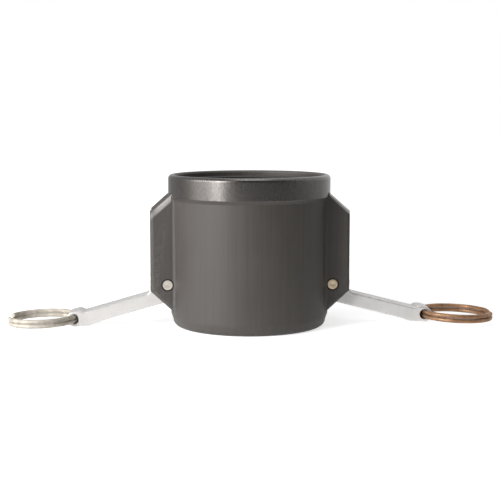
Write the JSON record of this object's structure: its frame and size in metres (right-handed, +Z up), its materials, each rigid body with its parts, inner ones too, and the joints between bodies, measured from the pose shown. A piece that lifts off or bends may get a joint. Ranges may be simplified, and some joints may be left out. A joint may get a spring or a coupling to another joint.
{
  "type": "cam and groove coupler",
  "caption": "Socket half of a cam and groove hose coupling: a cast body with a threaded mouth and a gasket, closed on its mate by pivoting cam arms with split pull rings.",
  "frame": {"origin": "on the axis of the waterway, in the plane of the mating face that the coupler stands on", "axes": "+Z up along the waterway, from the mating bore to the threaded mouth; +X from the left arm to the right arm, along the longest extent; +Y away from the side that the picture shows"},
  "size_m": [0.2627, 0.0868, 0.081],
  "materials": {
    "hard_coat": "dark hard-anodised casting, satin, with a turned collar",
    "arm_steel": "tumbled stainless casting",
    "pin_steel": "plain steel pin",
    "ring_nickel": "bright nickel-plated wire",
    "ring_bronze": "bronze-coloured wire",
    "gasket_rubber": "matt black rubber"
  },
  "bodies": {
    "coupler": {"body": "hard_coat", "gasket": "gasket_rubber", "left_pin": "pin_steel", "right_pin": "pin_steel"},
    "left_arm": {"left_cam_arm": "arm_steel"},
    "right_arm": {"right_cam_arm": "arm_steel"},
    "left_ring": {"left_pull_ring": "ring_nickel"},
    "right_ring": {"right_pull_ring": "ring_bronze"}
  },
  "joints": [
    {"name": "left_arm_hinge", "type": "hinge", "parent": "coupler", "child": "left_arm", "pos_m": [-0.0437, 0, 0.0232], "axis": [0, 1, 0], "range_deg": [-15.6, 104.8]},
    {"name": "right_arm_hinge", "type": "hinge", "parent": "coupler", "child": "right_arm", "pos_m": [0.0437, 0, 0.0232], "axis": [0, -1, 0], "range_deg": [-17.2, 103.3]},
    {"name": "left_ring_hinge", "type": "hinge", "parent": "left_arm", "child": "left_ring", "pos_m": [-0.09401, 0, 0.00415], "axis": [0, 1, 0], "range_deg": [-178, 30]},
    {"name": "right_ring_hinge", "type": "hinge", "parent": "right_arm", "child": "right_ring", "pos_m": [0.0945, 0, 0.0055], "axis": [0, -1, 0], "range_deg": [-178, 32]}
  ]
}
